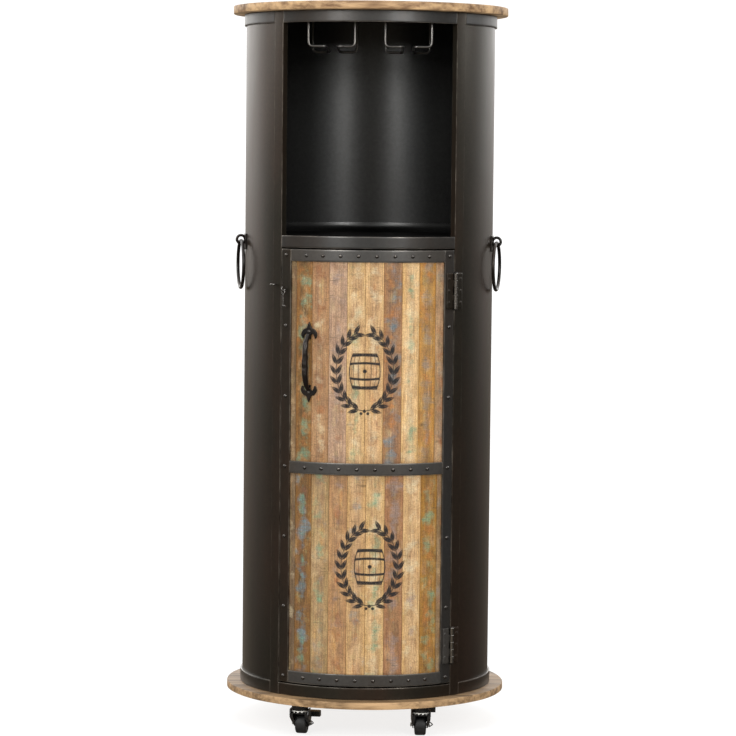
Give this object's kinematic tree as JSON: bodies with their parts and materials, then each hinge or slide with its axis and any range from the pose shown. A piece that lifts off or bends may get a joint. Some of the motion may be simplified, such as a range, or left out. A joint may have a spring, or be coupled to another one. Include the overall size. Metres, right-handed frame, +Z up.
{
  "type": "wine bar cabinet",
  "caption": "Round steel drum bar cabinet between wooden boards, with an open niche under glass rails, a curved riveted plank door with hook latch, side rings and braked swivel castors.",
  "frame": {"origin": "on the floor under the middle of the base board", "axes": "+Z up, the door and the open niche face -Y, +X to the viewer's right from the front"},
  "size_m": [0.6, 0.6, 1.5379],
  "materials": {
    "mango_wood": "oiled, light, with a sawn and sanded edge",
    "reclaimed_planks": "worn old paint and bare sawn timber",
    "blackened_steel": "blackened, clear waxed, with a brown patina",
    "forged_iron": "hammered, blackened",
    "zinc_plate": "zinc plated, dull",
    "black_lacquered_steel": "black lacquer, semi-gloss",
    "black_rubber": "moulded, matt"
  },
  "bodies": {
    "cabinet": {"base_board": "mango_wood", "top_board": "mango_wood", "body_shell": "blackened_steel", "top_hoop": "blackened_steel", "bottom_hoop": "blackened_steel", "left_post": "blackened_steel", "right_post": "blackened_steel", "header_rail": "blackened_steel", "mid_rail": "blackened_steel", "sill_rail": "blackened_steel", "ceiling_plate": "blackened_steel", "niche_floor": "blackened_steel", "inner_shelf": "blackened_steel", "cabinet_floor": "blackened_steel", "left_glass_rail_inner": "blackened_steel", "left_glass_rail_outer": "blackened_steel", "right_glass_rail_inner": "blackened_steel", "right_glass_rail_outer": "blackened_steel", "upper_hinge_post_leaf": "blackened_steel", "lower_hinge_post_leaf": "blackened_steel", "upper_hinge_pin": "forged_iron", "lower_hinge_pin": "forged_iron", "catch_eye": "forged_iron", "left_ring_eye": "forged_iron", "right_ring_eye": "forged_iron", "front_left_castor_plate": "zinc_plate", "front_right_castor_plate": "zinc_plate", "rear_left_castor_plate": "zinc_plate", "rear_right_castor_plate": "zinc_plate"},
    "door": {"door_top_strap": "blackened_steel", "door_mid_strap": "blackened_steel", "door_bottom_strap": "blackened_steel", "door_latch_stile": "blackened_steel", "door_hinge_stile": "blackened_steel", "upper_plank_panel": "reclaimed_planks", "lower_plank_panel": "reclaimed_planks", "pull_handle": "forged_iron", "upper_hinge_door_leaf": "blackened_steel", "lower_hinge_door_leaf": "blackened_steel", "hook_eye": "forged_iron"},
    "hook": {"latch_hook": "forged_iron"},
    "left_ring": {"left_ring": "forged_iron"},
    "right_ring": {"right_ring": "forged_iron"},
    "front_left_castor": {"front_left_castor_fork": "black_lacquered_steel", "front_left_castor_axle": "zinc_plate", "front_left_brake_spring": "black_lacquered_steel"},
    "front_left_wheel": {"front_left_castor_wheel": "black_rubber"},
    "front_left_pedal": {"front_left_brake_pedal": "black_lacquered_steel"},
    "front_right_castor": {"front_right_castor_fork": "black_lacquered_steel", "front_right_castor_axle": "zinc_plate", "front_right_brake_spring": "black_lacquered_steel"},
    "front_right_wheel": {"front_right_castor_wheel": "black_rubber"},
    "front_right_pedal": {"front_right_brake_pedal": "black_lacquered_steel"},
    "rear_left_castor": {"rear_left_castor_fork": "black_lacquered_steel", "rear_left_castor_axle": "zinc_plate"},
    "rear_left_wheel": {"rear_left_castor_wheel": "black_rubber"},
    "rear_right_castor": {"rear_right_castor_fork": "black_lacquered_steel", "rear_right_castor_axle": "zinc_plate"},
    "rear_right_wheel": {"rear_right_castor_wheel": "black_rubber"}
  },
  "joints": [
    {"name": "door_hinge", "type": "hinge", "parent": "cabinet", "child": "door", "pos_m": [0.18398, -0.20547, 0.56935], "axis": [0, 0, 1], "range_deg": [0, 170]},
    {"name": "hook_swing", "type": "hinge", "parent": "door", "child": "hook", "pos_m": [-0.17634, -0.21776, 0.936], "axis": [-0.6293, -0.7771, 0], "range_deg": [-95, 95]},
    {"name": "left_ring_swing", "type": "hinge", "parent": "cabinet", "child": "left_ring", "pos_m": [-0.27385, -0.0473, 1.0378], "axis": [-0.1702, 0.9854, 0], "range_deg": [-3, 150]},
    {"name": "right_ring_swing", "type": "hinge", "parent": "cabinet", "child": "right_ring", "pos_m": [0.27385, -0.0473, 1.0378], "axis": [-0.1702, -0.9854, 0], "range_deg": [-3, 150]},
    {"name": "front_left_swivel", "type": "hinge", "parent": "cabinet", "child": "front_left_castor", "pos_m": [-0.13412, -0.21216, 0.048], "axis": [0, 0, 1], "continuous": true},
    {"name": "front_left_wheel_spin", "type": "hinge", "parent": "front_left_castor", "child": "front_left_wheel", "pos_m": [-0.13068, -0.19043, 0.0225], "axis": [0.9877, -0.1564, 0], "continuous": true},
    {"name": "front_left_pedal_press", "type": "hinge", "parent": "front_left_castor", "child": "front_left_pedal", "pos_m": [-0.1319, -0.19814, 0.0362], "axis": [-0.9877, 0.1564, 0], "range_deg": [-22, 0]},
    {"name": "front_right_swivel", "type": "hinge", "parent": "cabinet", "child": "front_right_castor", "pos_m": [0.12054, -0.22016, 0.048], "axis": [0, 0, 1], "continuous": true},
    {"name": "front_right_wheel_spin", "type": "hinge", "parent": "front_right_castor", "child": "front_right_wheel", "pos_m": [0.11939, -0.19819, 0.0225], "axis": [0.9986, 0.0523, 0], "continuous": true},
    {"name": "front_right_pedal_press", "type": "hinge", "parent": "front_right_castor", "child": "front_right_pedal", "pos_m": [0.11979, -0.20598, 0.0362], "axis": [-0.9986, -0.0523, 0], "range_deg": [0, 22]},
    {"name": "rear_left_swivel", "type": "hinge", "parent": "cabinet", "child": "rear_left_castor", "pos_m": [-0.12054, 0.22016, 0.048], "axis": [0, 0, 1], "continuous": true},
    {"name": "rear_left_wheel_spin", "type": "hinge", "parent": "rear_left_castor", "child": "rear_left_wheel", "pos_m": [-0.10699, 0.2375, 0.0225], "axis": [0.788, -0.6157, 0], "continuous": true},
    {"name": "rear_right_swivel", "type": "hinge", "parent": "cabinet", "child": "rear_right_castor", "pos_m": [0.13412, 0.21216, 0.048], "axis": [0, 0, 1], "continuous": true},
    {"name": "rear_right_wheel_spin", "type": "hinge", "parent": "rear_right_castor", "child": "rear_right_wheel", "pos_m": [0.12517, 0.23226, 0.0225], "axis": [0.9135, 0.4067, 0], "continuous": true}
  ]
}
